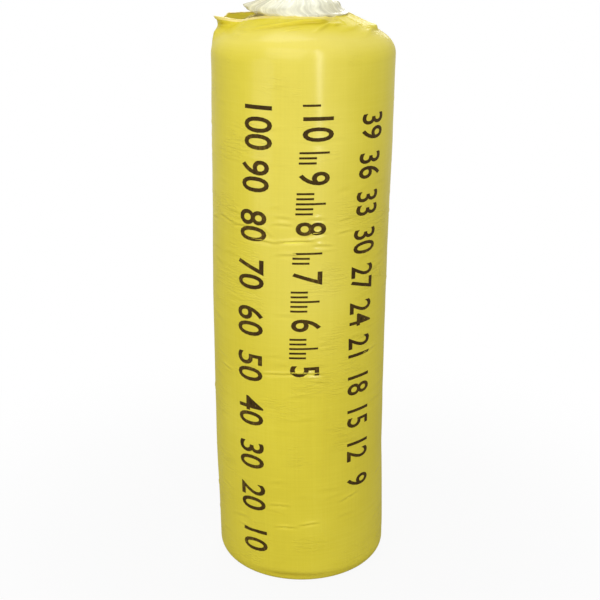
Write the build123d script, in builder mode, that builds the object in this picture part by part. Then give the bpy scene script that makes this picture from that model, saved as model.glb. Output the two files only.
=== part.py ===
"""A packed roll of glass wool blanket, standing on its end.

A blanket 1200 mm wide and 30 m long is rolled up tight, so that each turn is pressed to about a seventh
of its loose thickness. A clear film bag holds the roll, gathered at both ends: its tail stands loose on
the domed top, and is pressed flat in the hollow under the base. Over the film is a yellow woven sleeve,
turned in over the rim at the top and under the rim at the base. On the left its mouth stands up as a collar.
Origin on the floor at the roll's axis, +Z up along the axis, -Y the printed front, -X the collar's side.
"""

import math
import os

from build123d import *

os.makedirs("parts", exist_ok=True)

# Glass wool blanket, rolled
blanket_width = 1200.0
blanket_length = 30000.0
packed_thickness = 3.34
bore_radius = 14.0
base_edge_radius = 24.0
base_dish_radius = 105.0
base_dish_depth = 8.0
shoulder_radius = 45.0
crown_radius = 260.0
turn_line_width = 0.9
turn_line_depth = 1.5

# Clear film bag
film_wall = 0.6
pleat_count = 15
pleat_depth = 8.0
tail_offset = 18.0
tail_foot_length = 156.0
tail_foot_width = 116.0
tail_belly_length = 200.0
tail_belly_width = 132.0
tail_belly_rise = 4.0
tail_waist_length = 166.0
tail_waist_width = 112.0
tail_waist_rise = 15.0
tail_top_length = 104.0
tail_top_width = 76.0
tail_height = 62.0
pressed_tail_length = 130.0
pressed_tail_width = 96.0
pressed_tail_clearance = 1.5

# Woven sleeve
sleeve_wall = 1.0
sleeve_slack = 2.4
under_mouth_radius = 112.0
mouth_radius = 110.0
mouth_left = 24.0
mouth_back = 30.0
collar_start = 112.0
collar_arc = 95.0
collar_height = 72.0
collar_lean = 9.0

# The rolled area, seen from the end, is the blanket's length times its packed thickness
roll_radius = math.sqrt(bore_radius**2 + blanket_length * packed_thickness / math.pi)

# The roll stands on the sleeve's turned under end, with the film between the two
wool_base_z = sleeve_wall + film_wall
wool_top_z = wool_base_z + blanket_width
film_top_z = wool_top_z + film_wall
middle_z = wool_base_z + blanket_width / 2

# The domed top end is two tangent arcs: a shoulder at the rim and a crown over the axis
shoulder_x = roll_radius - shoulder_radius
crown_z = wool_top_z - crown_radius
shoulder_z = crown_z + math.sqrt((crown_radius - shoulder_radius) ** 2 - shoulder_x**2)
crown_limit = math.degrees(math.atan2(shoulder_z - crown_z, shoulder_x))
crown_edge_x = crown_radius * math.cos(math.radians(crown_limit))

# The base is flat from the rounded edge in to a shallow dish
base_flat_x = roll_radius - base_edge_radius
dish_arc_radius = (base_dish_radius**2 + base_dish_depth**2) / (2 * base_dish_depth)


def crown_height(radius):
    """Height of the wool's domed top at a radius inside the crown."""
    return crown_z + math.sqrt(crown_radius**2 - radius**2)


def dish_height(radius):
    """Height of the wool's underside: an arc inside the dish, and level outside it."""
    if radius >= base_dish_radius:
        return wool_base_z
    return wool_base_z + base_dish_depth - dish_arc_radius + math.sqrt(dish_arc_radius**2 - radius**2)


def roll_section(grow, base_grow):
    """Half section of the roll, grown by grow at its side and top and by base_grow underneath."""
    base_z = wool_base_z - base_grow
    side_x = roll_radius + grow
    edge_radius = base_edge_radius + base_grow
    edge_centre = (side_x - edge_radius, base_z + edge_radius)
    dish_peak = (0, base_z + base_dish_depth)
    dish_middle = (base_dish_radius / 2, dish_height(base_dish_radius / 2) - base_grow)
    dish_rim = (base_dish_radius, base_z)
    with BuildSketch(Plane.XZ) as section:
        with BuildLine():
            ThreePointArc(dish_peak, dish_middle, dish_rim)
            Line(dish_rim, (edge_centre[0], base_z))
            CenterArc(edge_centre, edge_radius, -90, 90)
            Line((side_x, edge_centre[1]), (side_x, shoulder_z))
            CenterArc((shoulder_x, shoulder_z), shoulder_radius + grow, 0, crown_limit)
            CenterArc((0, crown_z), crown_radius + grow, crown_limit, 90 - crown_limit)
            Line((0, wool_top_z + grow), dish_peak)
        make_face()
    return section.sketch


def pleated_oval(length, width):
    """Corners of an oval with a folded edge: out at each pleat and in between them."""
    corners = []
    for corner in range(2 * pleat_count):
        angle = math.pi * corner / pleat_count
        inset = pleat_depth * (corner % 2)
        corners.append(((length / 2 - inset) * math.cos(angle), (width / 2 - inset) * math.sin(angle)))
    return corners


turn_count = int((crown_edge_x - bore_radius) / packed_thickness)
turn_radii = [bore_radius + turn * packed_thickness for turn in range(1, turn_count)]

# Glass wool: one turned solid with its bore, its turns showing as ring lines on both ends
with BuildPart() as glass_wool_roll:
    revolve(roll_section(0, 0), axis=Axis.Z)
    with BuildSketch():
        Circle(bore_radius)
    extrude(amount=film_top_z, mode=Mode.SUBTRACT)
    with BuildSketch(Plane.XZ):
        with Locations(*[(radius, crown_height(radius)) for radius in turn_radii]):
            Rectangle(turn_line_width, 2 * turn_line_depth)
        with Locations(*[(radius, dish_height(radius)) for radius in turn_radii if radius < base_flat_x]):
            Rectangle(turn_line_width, 2 * turn_line_depth)
    revolve(axis=Axis.Z, mode=Mode.SUBTRACT)
glass_wool_roll.part.label = "glass_wool_roll"

# The tail's foot starts inside the dome, below its lowest point along the tail
tail_foot_z = crown_height(tail_offset + tail_foot_length / 2)
tail_sections = [
    (tail_foot_z, tail_foot_length, tail_foot_width),
    (film_top_z + tail_belly_rise, tail_belly_length, tail_belly_width),
    (film_top_z + tail_waist_rise, tail_waist_length, tail_waist_width),
    (film_top_z + tail_height, tail_top_length, tail_top_width),
]

# Clear film: a skin all round the wool, a pleated tail on the dome and one pressed flat under the dish
with BuildPart() as film_wrap:
    for height, length, width in tail_sections:
        with BuildSketch(Plane((-tail_offset, 0, height))):
            Polygon(*pleated_oval(length, width), align=None)
    loft(ruled=True)
    with BuildSketch(Plane.XY.offset(sleeve_wall + pressed_tail_clearance)):
        Polygon(*pleated_oval(pressed_tail_length, pressed_tail_width), align=None)
    extrude(amount=base_dish_depth)
    revolve(roll_section(film_wall, film_wall), axis=Axis.Z)
    revolve(roll_section(0, 0), axis=Axis.Z, mode=Mode.SUBTRACT)
film_wrap.part.label = "film_wrap"

collar_angle = math.radians(collar_start)
collar_plane = Plane(
    origin=(0, 0, 0),
    x_dir=(math.cos(collar_angle), math.sin(collar_angle), 0),
    z_dir=(math.sin(collar_angle), -math.cos(collar_angle), 0),
)
sleeve_inside = film_wall + sleeve_slack
sleeve_x = roll_radius + sleeve_inside
collar_top_z = shoulder_z + collar_height

# Woven sleeve: snug on the roll's side, turned in at both ends, its mouth standing up on the left
with BuildPart() as woven_sleeve:
    revolve(roll_section(sleeve_inside + sleeve_wall, film_wall + sleeve_wall), axis=Axis.Z)
    revolve(roll_section(sleeve_inside, film_wall), axis=Axis.Z, mode=Mode.SUBTRACT)
    with BuildSketch():
        Circle(under_mouth_radius)
    extrude(amount=middle_z, mode=Mode.SUBTRACT)
    with BuildSketch(Plane((-mouth_left, mouth_back, middle_z))):
        Circle(mouth_radius)
    extrude(amount=blanket_width, mode=Mode.SUBTRACT)
    with BuildSketch(collar_plane):
        with Locations((0, shoulder_z)):
            Rectangle(sleeve_x + 2 * sleeve_wall, blanket_width, align=(Align.MIN, Align.MIN))
    revolve(axis=Axis.Z, revolution_arc=collar_arc, mode=Mode.SUBTRACT)
    with BuildSketch(collar_plane):
        with BuildLine():
            Polyline(
                (sleeve_x, shoulder_z),
                (sleeve_x + sleeve_wall, shoulder_z),
                (sleeve_x + sleeve_wall - collar_lean, collar_top_z),
                (sleeve_x - collar_lean, collar_top_z),
                close=True,
            )
        make_face()
    revolve(axis=Axis.Z, revolution_arc=collar_arc)
woven_sleeve.part.label = "woven_sleeve"

export_step(glass_wool_roll.part, "parts/glass_wool_roll.step")
export_step(film_wrap.part, "parts/film_wrap.step")
export_step(woven_sleeve.part, "parts/woven_sleeve.step")
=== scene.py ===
# %% [markdown]
# # A packed roll of glass wool, standing on its end
#
# The object is a soft, springy blanket that has been rolled up very tight. Three things hold it in
# shape: the blanket's own turns, a clear film bag round them, and a yellow woven plastic sleeve over the
# bag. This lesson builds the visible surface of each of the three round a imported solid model, which
# already has the true sizes. Everything is in metres, in the model's own frame: the floor is z = 0, the
# roll's axis is the Z axis, and the printed front faces -Y. Angles run from +X, so the front is 270.

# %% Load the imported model
import math
from math import pi, radians

import bmesh
import bpy
import numpy as np
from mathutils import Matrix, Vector


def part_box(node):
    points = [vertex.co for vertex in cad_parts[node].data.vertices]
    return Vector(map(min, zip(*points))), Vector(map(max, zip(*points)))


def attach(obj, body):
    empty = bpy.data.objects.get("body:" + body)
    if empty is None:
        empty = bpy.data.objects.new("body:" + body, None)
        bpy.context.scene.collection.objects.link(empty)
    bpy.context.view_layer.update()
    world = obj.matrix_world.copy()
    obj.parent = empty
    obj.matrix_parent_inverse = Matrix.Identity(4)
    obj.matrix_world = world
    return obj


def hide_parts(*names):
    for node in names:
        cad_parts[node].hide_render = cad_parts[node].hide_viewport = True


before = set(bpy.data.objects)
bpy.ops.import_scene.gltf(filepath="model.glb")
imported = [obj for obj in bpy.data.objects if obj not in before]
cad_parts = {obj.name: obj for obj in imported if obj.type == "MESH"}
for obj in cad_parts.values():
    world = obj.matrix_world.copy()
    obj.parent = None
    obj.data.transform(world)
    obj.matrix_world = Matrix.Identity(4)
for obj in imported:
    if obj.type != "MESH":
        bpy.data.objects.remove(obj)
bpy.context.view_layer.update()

# %% [markdown]
# ## The sizes that every piece shares
#
# The solid model says how wide the sleeve and the wool are, so these two come from it. The bends at the
# roll's ends are shared by all three layers: a tight shoulder at the rim, a shallow crown over the axis,
# and a small rounding at the base. A layer further out has the same bends, grown by its distance. A real
# roll is never quite straight, so two small faults are shared too: a lean, and a domed end that has sunk
# on its right.

# %% Shared sizes
sleeve_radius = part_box("woven_sleeve")[1][0]
wool_low, wool_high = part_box("glass_wool_roll")
wool_radius = wool_high[0]
wool_base = wool_low[2]
blanket_width = 1.2
wool_top = wool_base + blanket_width
shoulder_radius = 0.045
crown_radius = 0.260
base_edge_radius = 0.024
dish_radius = 0.105
dish_depth = 0.008
bore_radius = 0.014
turn_pitch = 0.00334
sleeve_gap = sleeve_radius - wool_radius

shoulder_x = wool_radius - shoulder_radius
crown_z = wool_top - crown_radius
shoulder_z = crown_z + math.sqrt((crown_radius - shoulder_radius) ** 2 - shoulder_x**2)
crown_limit = math.atan2(shoulder_z - crown_z, shoulder_x)
base_flat_x = wool_radius - base_edge_radius
dish_bend = (dish_radius**2 + dish_depth**2) / (2 * dish_depth)

# Each lean is how far the roll swings to the right, and the heights between which it does
leans = [(0.0085, 0.45, 1.2), (-0.0050, 0.0, 0.30)]
# The sunk side is how deep it is, and where it grows: across to the right, and up the roll
sunk_depth, sunk_across, sunk_up = 0.0045, (0.03, 0.09), (1.10, 1.16)
print("sleeve radius", round(sleeve_radius, 4), "shoulder starts at height", round(shoulder_z, 4))

# %% [markdown]
# ## Helpers for soft surfaces
#
# A wrapped roll is a surface of revolution with small faults: creases, folds and slow waves. The
# handiest way to make one is a grid of points, with columns round the roll and rows along its profile,
# because every fault is then a formula on the angle and on the distance along the profile. NumPy works
# out the whole grid at once. The random waves come from tables of seeded numbers that repeat after one
# turn, so the surface closes without a seam.


# %% Waves and ramps
def ramp(low, high, value):
    """0 below low, 1 above high, and a smooth climb between them."""
    share = np.clip((value - low) / (high - low), 0.0, 1.0)
    return share * share * (3.0 - 2.0 * share)


def bump(value, centre, width):
    """A rounded hump that is 1 at its centre."""
    return np.exp(-(((value - centre) / width) ** 2))


def turned(angle, centre):
    """The angle from centre, in radians from -pi to pi."""
    return (angle - centre + pi) % (2 * pi) - pi


def waves(angle, along, count, step, seed):
    """Smooth random waves from -1 to 1: count of them round the roll, and one for each step along it."""
    table_rows = 512
    table = np.random.default_rng(seed).uniform(-1.0, 1.0, (table_rows, count))
    across = (angle / (2 * pi) * count) % count
    down = np.abs(along / step + 64.0)
    column, row = np.floor(across).astype(int), np.floor(down).astype(int)
    near, low = across - column, down - row
    near, low = near * near * (3 - 2 * near), low * low * (3 - 2 * low)
    column, right = column % count, (column + 1) % count
    row, above = row % table_rows, (row + 1) % table_rows
    lower = table[row, column] * (1 - near) + table[row, right] * near
    upper = table[above, column] * (1 - near) + table[above, right] * near
    return lower * (1 - low) + upper * low


def leaning(height):
    """How far to the right the roll's axis is: it swings to the left first, then back to the right."""
    return sum(reach * ramp(low, high, height) for reach, low, high in leans)


def settled(across, height):
    """The height of a spot once the roll's domed end has sunk on its right."""
    return height - sunk_depth * ramp(*sunk_across, across) * ramp(*sunk_up, height)


def normals(points):
    """Outward unit normals of a grid whose columns run round the Z axis and whose rows run upwards."""
    around = np.roll(points, -1, axis=1) - np.roll(points, 1, axis=1)
    along = np.gradient(points, axis=0)
    out = np.cross(around, along)
    return out / np.maximum(np.linalg.norm(out, axis=2, keepdims=True), 1e-9)


# %% [markdown]
# ## From a grid to a piece
#
# A grid becomes a mesh of four-sided faces. Each also gets a UV map, which is the cloth laid flat in
# metres, so that a weave drawn on it keeps its scale round every bend. A finished piece then rides on
# the part's one body, and hides the solids of the imported model that it replaces.


# %% Meshes and pieces
def in_scene(name, data):
    """A new object at the origin, with this mesh, lamp or camera."""
    thing = bpy.data.objects.new(name, data)
    bpy.context.scene.collection.objects.link(thing)
    return thing


def skin(name, points, runs, closed_rows=False):
    """A piece from a closed ring of columns, with a UV map in metres round the roll and along it."""
    rows, columns, _ = points.shape
    index = np.arange(rows * columns).reshape(rows, columns)
    rising = np.vstack([index, index[:1]]) if closed_rows else index
    right = np.roll(rising, -1, axis=1)
    faces = np.stack([rising[:-1], right[:-1], right[1:], rising[1:]], axis=2).reshape(-1, 4)
    mesh = bpy.data.meshes.new(name)
    mesh.from_pydata(points.reshape(-1, 3).tolist(), [], faces.tolist())
    steps = np.arange(columns + 1) / columns * 2 * pi * sleeve_radius
    heights = np.append(runs, runs[:1]) if closed_rows else runs
    corners_u = np.stack([steps[:-1], steps[1:], steps[1:], steps[:-1]], axis=1)
    corners_v = np.stack([heights[:-1], heights[:-1], heights[1:], heights[1:]], axis=1)[:, None]
    uv = np.stack(np.broadcast_arrays(corners_u, corners_v), axis=3)
    mesh.uv_layers.new(name="laid_flat").data.foreach_set("uv", uv.reshape(-1))
    mesh.shade_smooth()
    return in_scene(name, mesh)


def number_points(piece, name, values):
    """Gives every point of a piece a number that its material can read."""
    piece.data.attributes.new(name, "FLOAT", "POINT").data.foreach_set("value", values.reshape(-1))


def place(piece, *nodes, slot, materials=()):
    """Fixes a finished piece to the model's one body, in place of the nodes that it replaces."""
    for material in materials:
        piece.data.materials.append(material)
    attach(piece, "root")
    if nodes:
        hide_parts(*nodes)
    print(piece.name, "has", len(piece.data.polygons), "faces")
    return piece


# %% [markdown]
# ## Helpers for node trees
#
# Both materials and Geometry Nodes are trees of nodes. A Wire stands for one output socket, and its
# arithmetic adds Math nodes, so a formula can be written as a formula. A Bench adds any other node in
# one call: its type, its settings, and the values or wires of its sockets.


# %% Wires and benches
class Wire:
    """An output socket that can be used in sums."""

    def __init__(self, bench, socket):
        self.bench = bench
        self.socket = socket

    def maths(self, operation, *values):
        sockets = dict(enumerate(values))
        return self.bench.add("ShaderNodeMath", {"operation": operation}, sockets)

    def __add__(self, other):
        return self.maths("ADD", self, other)

    def __sub__(self, other):
        return self.maths("SUBTRACT", self, other)

    def __mul__(self, other):
        return self.maths("MULTIPLY", self, other)

    def __truediv__(self, other):
        return self.maths("DIVIDE", self, other)

    def __pow__(self, other):
        return self.maths("POWER", self, other)

    def __rsub__(self, other):
        return self.maths("SUBTRACT", other, self)

    __radd__ = __add__
    __rmul__ = __mul__

    def sine(self):
        return self.maths("SINE", self)

    def size(self):
        return self.maths("ABSOLUTE", self)

    def above(self, limit):
        return self.maths("GREATER_THAN", self, limit)

    def highest(self, other):
        return self.maths("MAXIMUM", self, other)

    def held(self, low, high):
        """The value squeezed to 0 at low and to 1 at high."""
        sockets = {"Value": self, "From Min": low, "From Max": high}
        return self.bench.add("ShaderNodeMapRange", {"interpolation_type": "SMOOTHSTEP"}, sockets)

    def between(self, low, high, soft):
        """1 from low to high, fading to 0 over a soft edge at each."""
        return self.held(low - soft, low + soft) * (1 - self.held(high - soft, high + soft))

    def ridged(self):
        """Noise folded at its middle, so that it has sharp crests where it was about 0.5."""
        return 1 - (self * 2 - 1).size()


class Bench:
    """A node tree that is being built."""

    def __init__(self, tree):
        self.tree = tree

    def add(self, kind, settings=None, sockets=None, output=0, stops=None):
        node = self.tree.nodes.new(kind)
        for name, value in (settings or {}).items():
            setattr(node, name, value)
        if stops:
            elements = node.color_ramp.elements
            while len(elements) < len(stops):
                elements.new(0.5)
            for element, (position, tint) in zip(elements, stops):
                element.position = position
                element.color = (*tint, 1.0)
        for name, value in (sockets or {}).items():
            if isinstance(value, Wire):
                self.tree.links.new(value.socket, node.inputs[name])
            else:
                node.inputs[name].default_value = value
        return Wire(self, node.outputs[output]) if node.outputs else node


def axes(bench, vector):
    """The X, Y and Z of a vector, as three wires."""
    node = bench.add("ShaderNodeSeparateXYZ", None, {"Vector": vector}).socket.node
    return [Wire(bench, node.outputs[axis]) for axis in "XYZ"]


def joined(bench, across, deep, height):
    """A vector from its X, Y and Z."""
    return bench.add("ShaderNodeCombineXYZ", None, {"X": across, "Y": deep, "Z": height})


# %% [markdown]
# ## Helpers for materials
#
# The same few nodes come back in every material: noise for what varies, a ramp that turns noise into
# tones, a mix for a second colour, a bump for what is too fine to model, and one shader at the end.
# Colours are written as a picture editor gives them. A pattern on the cloth reads its UV map, bent back
# into a ring, so that noise on it closes without a seam.


# %% Material helpers
def colour(red, green, blue):
    """A colour from 0 to 255, turned into the linear values that light adds up in."""
    parts = [part / 255 for part in (red, green, blue)]
    return tuple(part / 12.92 if part <= 0.04045 else ((part + 0.055) / 1.055) ** 2.4 for part in parts)


def new_material(name):
    """An empty material and the bench to build it on."""
    material = bpy.data.materials.new(name)
    material.use_nodes = True
    material.node_tree.nodes.clear()
    return material, Bench(material.node_tree)


def finish_material(bench, shader):
    bench.add("ShaderNodeOutputMaterial", None, {"Surface": shader})


def surface(bench, sockets):
    """Ends a material with one Principled shader."""
    finish_material(bench, bench.add("ShaderNodeBsdfPrincipled", None, sockets))


def own_place(bench):
    """Where a spot lies in the piece's own frame, which is the roll's frame too."""
    return bench.add("ShaderNodeTexCoord", None, None, output="Object")


def point_number(bench, name):
    """A number that number_points gave the piece."""
    return bench.add("ShaderNodeAttribute", {"attribute_name": name}, None, output="Fac")


def noise(bench, spot, scale, detail, roughness=0.5):
    sockets = {"Vector": spot, "Scale": scale, "Detail": detail, "Roughness": roughness}
    return bench.add("ShaderNodeTexNoise", None, sockets)


def drawn_noise(bench, spot, round_scale, along_scale, detail, distortion=0.0):
    """Noise with a scale of its own round the roll and along it, in waves for each metre."""
    scale = (round_scale, round_scale, along_scale)
    drawn = bench.add("ShaderNodeMapping", None, {"Vector": spot, "Scale": scale})
    sockets = {"Vector": drawn, "Scale": 1.0, "Detail": detail, "Distortion": distortion}
    return bench.add("ShaderNodeTexNoise", None, sockets)


def toned(bench, value, stops):
    """The colour of a value on a ramp of stops."""
    return bench.add("ShaderNodeValToRGB", None, {"Fac": value}, stops=stops)


def mixed(bench, share, first, second, blend="MIX"):
    """The first colour, turned towards the second by a share from 0 to 1."""
    first, second = [tint if isinstance(tint, Wire) else (*tint, 1.0) for tint in (first, second)]
    settings = {"data_type": "RGBA", "blend_type": blend}
    return bench.add("ShaderNodeMix", settings, {0: share, 6: first, 7: second}, output=2)


def bumped(bench, strength, distance, height, under=None):
    """A normal tipped by a height, on top of the bump under it where there is one."""
    sockets = {"Strength": strength, "Distance": distance, "Height": height}
    if under:
        sockets["Normal"] = under
    return bench.add("ShaderNodeBump", None, sockets)


def laid_round(bench):
    """The laid_flat map bent round the roll, and the same map's two distances in metres."""
    across, along, _ = axes(bench, bench.add("ShaderNodeUVMap", {"uv_map": "laid_flat"}))
    turn = across / sleeve_radius
    bent = joined(bench, (turn + pi / 2).sine() * sleeve_radius, turn.sine() * sleeve_radius, along)
    return bent, across, along


# %% [markdown]
# ## Helpers for Geometry Nodes
#
# What repeats or follows a path is made by Geometry Nodes. The tree is built here with an input for each
# size, and every input is set before the object is first evaluated. The result is then kept as a plain
# mesh, and the modifier is removed.


# %% Geometry Nodes helpers
def nodes_piece(name, build, values):
    """A mesh from a Geometry Nodes tree: build(bench, inputs) returns the last geometry wire."""
    tree = bpy.data.node_groups.new(name + "_tree", "GeometryNodeTree")
    tree.interface.new_socket("Geometry", in_out="OUTPUT", socket_type="NodeSocketGeometry")
    kinds = {bpy.types.Material: "NodeSocketMaterial", bpy.types.Object: "NodeSocketObject"}
    for title, value in values.items():
        kind = kinds.get(type(value), "NodeSocketFloat")
        tree.interface.new_socket(title, in_out="INPUT", socket_type=kind)
    bench = Bench(tree)
    start = tree.nodes.new("NodeGroupInput")
    inputs = {title: Wire(bench, start.outputs[title]) for title in values}
    shape = bench.add("GeometryNodeRealizeInstances", None, {"Geometry": build(bench, inputs)})
    finish = {"Geometry": shape, "Material": inputs["Material"]}
    painted = bench.add("GeometryNodeSetMaterial", None, finish)
    end = tree.nodes.new("NodeGroupOutput")
    tree.links.new(painted.socket, end.inputs["Geometry"])
    maker = in_scene(name, bpy.data.meshes.new(name + "_seed"))
    modifier = maker.modifiers.new("maker", "NODES")
    modifier.node_group = tree
    for item in tree.interface.items_tree:
        if item.in_out == "INPUT":
            modifier[item.identifier] = values[item.name]
    graph = bpy.context.evaluated_depsgraph_get()
    mesh = bpy.data.meshes.new_from_object(maker.evaluated_get(graph))
    maker.modifiers.clear()
    maker.data = mesh
    return maker


def swept(bench, path, sides, radius):
    """A round section swept along a path."""
    sockets = {"Resolution": sides, "Radius": radius}
    section = bench.add("GeometryNodeCurvePrimitiveCircle", {"mode": "RADIUS"}, sockets)
    return bench.add("GeometryNodeCurveToMesh", None, {"Curve": path, "Profile Curve": section})


# %% [markdown]
# ## The camera
#
# The camera stands 2.4 m from the roll and 1.5 m above the floor, and is tipped down by 20 degrees. The
# roll's outline in the picture settles all three values, because the sides of a cylinder draw together
# downwards when it is seen from above.

# %% Camera
camera_place = (-0.0032, -2.406, 1.469)
camera_tip = 20.14
camera_lens = 72.0
camera_data = bpy.data.cameras.new("camera")
camera_data.sensor_width = 36.0
camera_data.lens = camera_lens
camera = in_scene("camera", camera_data)
camera.location = camera_place
camera.rotation_euler = (radians(90.0 - camera_tip), 0.0, 0.0)
bpy.context.scene.camera = camera
print("camera", -camera_place[1], "m away, lens", camera_lens, "mm")

# %% [markdown]
# ## The sleeve's shape
#
# The sleeve is a flat-woven tube, a little wider than the roll. It is turned under at the base and in
# over the shoulder at the top, except on the left, where its mouth stands up as a loose collar with one
# pointed corner. The path of each column is made of four runs: the turned under rim, the base edge, the
# long side and the top. The top has two versions, lying on the shoulder and standing up, and each column
# mixes them.

# %% Sleeve sizes
sleeve_columns = 208
under_rows, edge_rows, long_rows, top_rows = 11, 14, 299, 76
under_mouth_radius = 0.112
under_pleats = 26

# Each pair is an angle in degrees and a length in millimetres: the mouth's reach from the axis where it
# lies on the roll's end, and its rise above the shoulder where it stands
mouth_reaches = [
    (-27, 84), (0, 85), (20, 97), (45, 114), (70, 122), (92, 125), (120, 126),
    (150, 126), (180, 125), (194, 117), (208, 103), (215, 95), (224, 90), (243, 87),
    (262, 88), (281, 90), (300, 93), (318, 87), (333, 84), (360, 85), (380, 97),
]
collar_rises = [
    (92, 60), (116, 63), (132, 64), (145, 66.5), (151, 68.5), (155, 64),
    (160, 61.5), (167, 64.5), (175, 68), (181, 71), (185, 73), (191, 68),
]
collar_lean = 0.0085
ear_lean = 0.0060
usual_top_length = 0.135
ear_angle = radians(181.5)
side_angles = np.arange(sleeve_columns) / sleeve_columns * 2 * pi

# The rows up the side stand closer together where the long creases lie: height and spread of each band
dense_bands = [(0.785, 0.040), (0.492, 0.028), (0.160, 0.045)]


# %% Sleeve paths
def read_off(table, angle):
    """The length in metres that a table of degrees and millimetres gives for an angle."""
    angles, lengths = np.array(table, dtype=float).T
    return np.interp(np.degrees(angle) % 360, angles, lengths) * 0.001


def over_the_top(distance, grow):
    """Radius and height at a distance along the roll's top end, from the shoulder's start inwards."""
    shoulder, crown = shoulder_radius + grow, crown_radius + grow
    bend = shoulder * crown_limit
    on_shoulder = distance < bend
    turn = np.where(on_shoulder, distance / shoulder, crown_limit + (distance - bend) / crown)
    bend_radius = np.where(on_shoulder, shoulder, crown)
    radius = np.where(on_shoulder, shoulder_x, 0.0) + bend_radius * np.cos(turn)
    height = np.where(on_shoulder, shoulder_z, crown_z) + bend_radius * np.sin(turn)
    return radius, height


def mouth_reach(angle):
    """Distance from the axis to the mouth's ragged edge where the sleeve lies on the roll's end."""
    return read_off(mouth_reaches, angle) + 0.0016 * waves(angle, 0 * angle, 19, 1.0, 4)


def standing(angle):
    """1 where the sleeve's mouth stands up as a collar, 0 where it lies on the roll's end."""
    from_back = ramp(radians(92), radians(116), angle)
    return from_back * (1 - ramp(radians(180), radians(191), angle))


def crease_rows(low, high, count):
    """Heights up the sleeve's side, closer together where the long creases lie."""
    heights = np.linspace(low, high, 600)
    total = np.cumsum(1 + 1.3 * sum(bump(heights, *band) for band in dense_bands))
    return np.interp(np.linspace(total[0], total[-1], count), total, heights)


def sleeve_path(angle):
    """The sleeve's profile for every column's angle: radius, height and running distance of each row."""
    edge_radius = base_edge_radius + wool_base
    edge_x = sleeve_radius - edge_radius
    under = np.linspace(0.0, 1.0, under_rows + 1)[:-1, None]
    ragged = under_mouth_radius + 0.004 * waves(angle, 0 * angle, 24, 1.0, 5)
    under_r = ragged + (edge_x - ragged) * under
    turn = np.linspace(-pi / 2, 0.0, edge_rows + 1)[:-1, None]
    edge_r = edge_x + edge_radius * np.cos(turn) + 0 * angle
    edge_h = edge_radius + edge_radius * np.sin(turn) + 0 * angle
    side_h = crease_rows(edge_radius, shoulder_z, long_rows + 1)[:-1, None] + 0 * angle
    share = np.linspace(0.0, 1.0, top_rows)[:, None]
    crown = crown_radius + sleeve_gap
    length = (shoulder_radius + sleeve_gap) * crown_limit
    length = length + crown * (np.arccos(mouth_reach(angle) / crown) - crown_limit)
    lying_r, lying_h = over_the_top(share * length, sleeve_gap - 0.0013 * ramp(0.4, 1.0, share))
    rise = read_off(collar_rises, angle) + 0.001 * waves(angle, 0 * angle, 14, 1.0, 3)
    lean = collar_lean + ear_lean * bump(turned(angle, ear_angle), 0.0, 0.35)
    standing_r = sleeve_radius - lean * share**1.5
    standing_h = shoulder_z + rise * share
    mix = standing(angle) * np.clip(share * 3, 0, 1) ** 0.5
    top_r = lying_r * (1 - mix) + standing_r * mix
    top_h = lying_h * (1 - mix) + standing_h * mix
    radius = np.vstack([under_r, edge_r, sleeve_radius + 0 * side_h, top_r])
    height = np.vstack([0 * under_r, edge_h, side_h, top_h])
    run_under = (under[:, 0] - 1) * (edge_x - under_mouth_radius)
    run_edge = (turn[:, 0] + pi / 2) * edge_radius
    run_side = side_h[:, 0] - edge_radius + edge_radius * pi / 2
    run_top = run_side[-1] + (share[:, 0] + 0.02) * usual_top_length
    return radius, height, np.concatenate([run_under, run_edge, run_side, run_top])


side_radius, side_height, side_run = sleeve_path(side_angles[None, :])
# A run is counted from the base edge's start, and is this much longer than the height above the floor
run_shift = base_edge_radius * (pi / 2 - 1)
print("sleeve rows", len(side_run), "columns", sleeve_columns)
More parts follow.
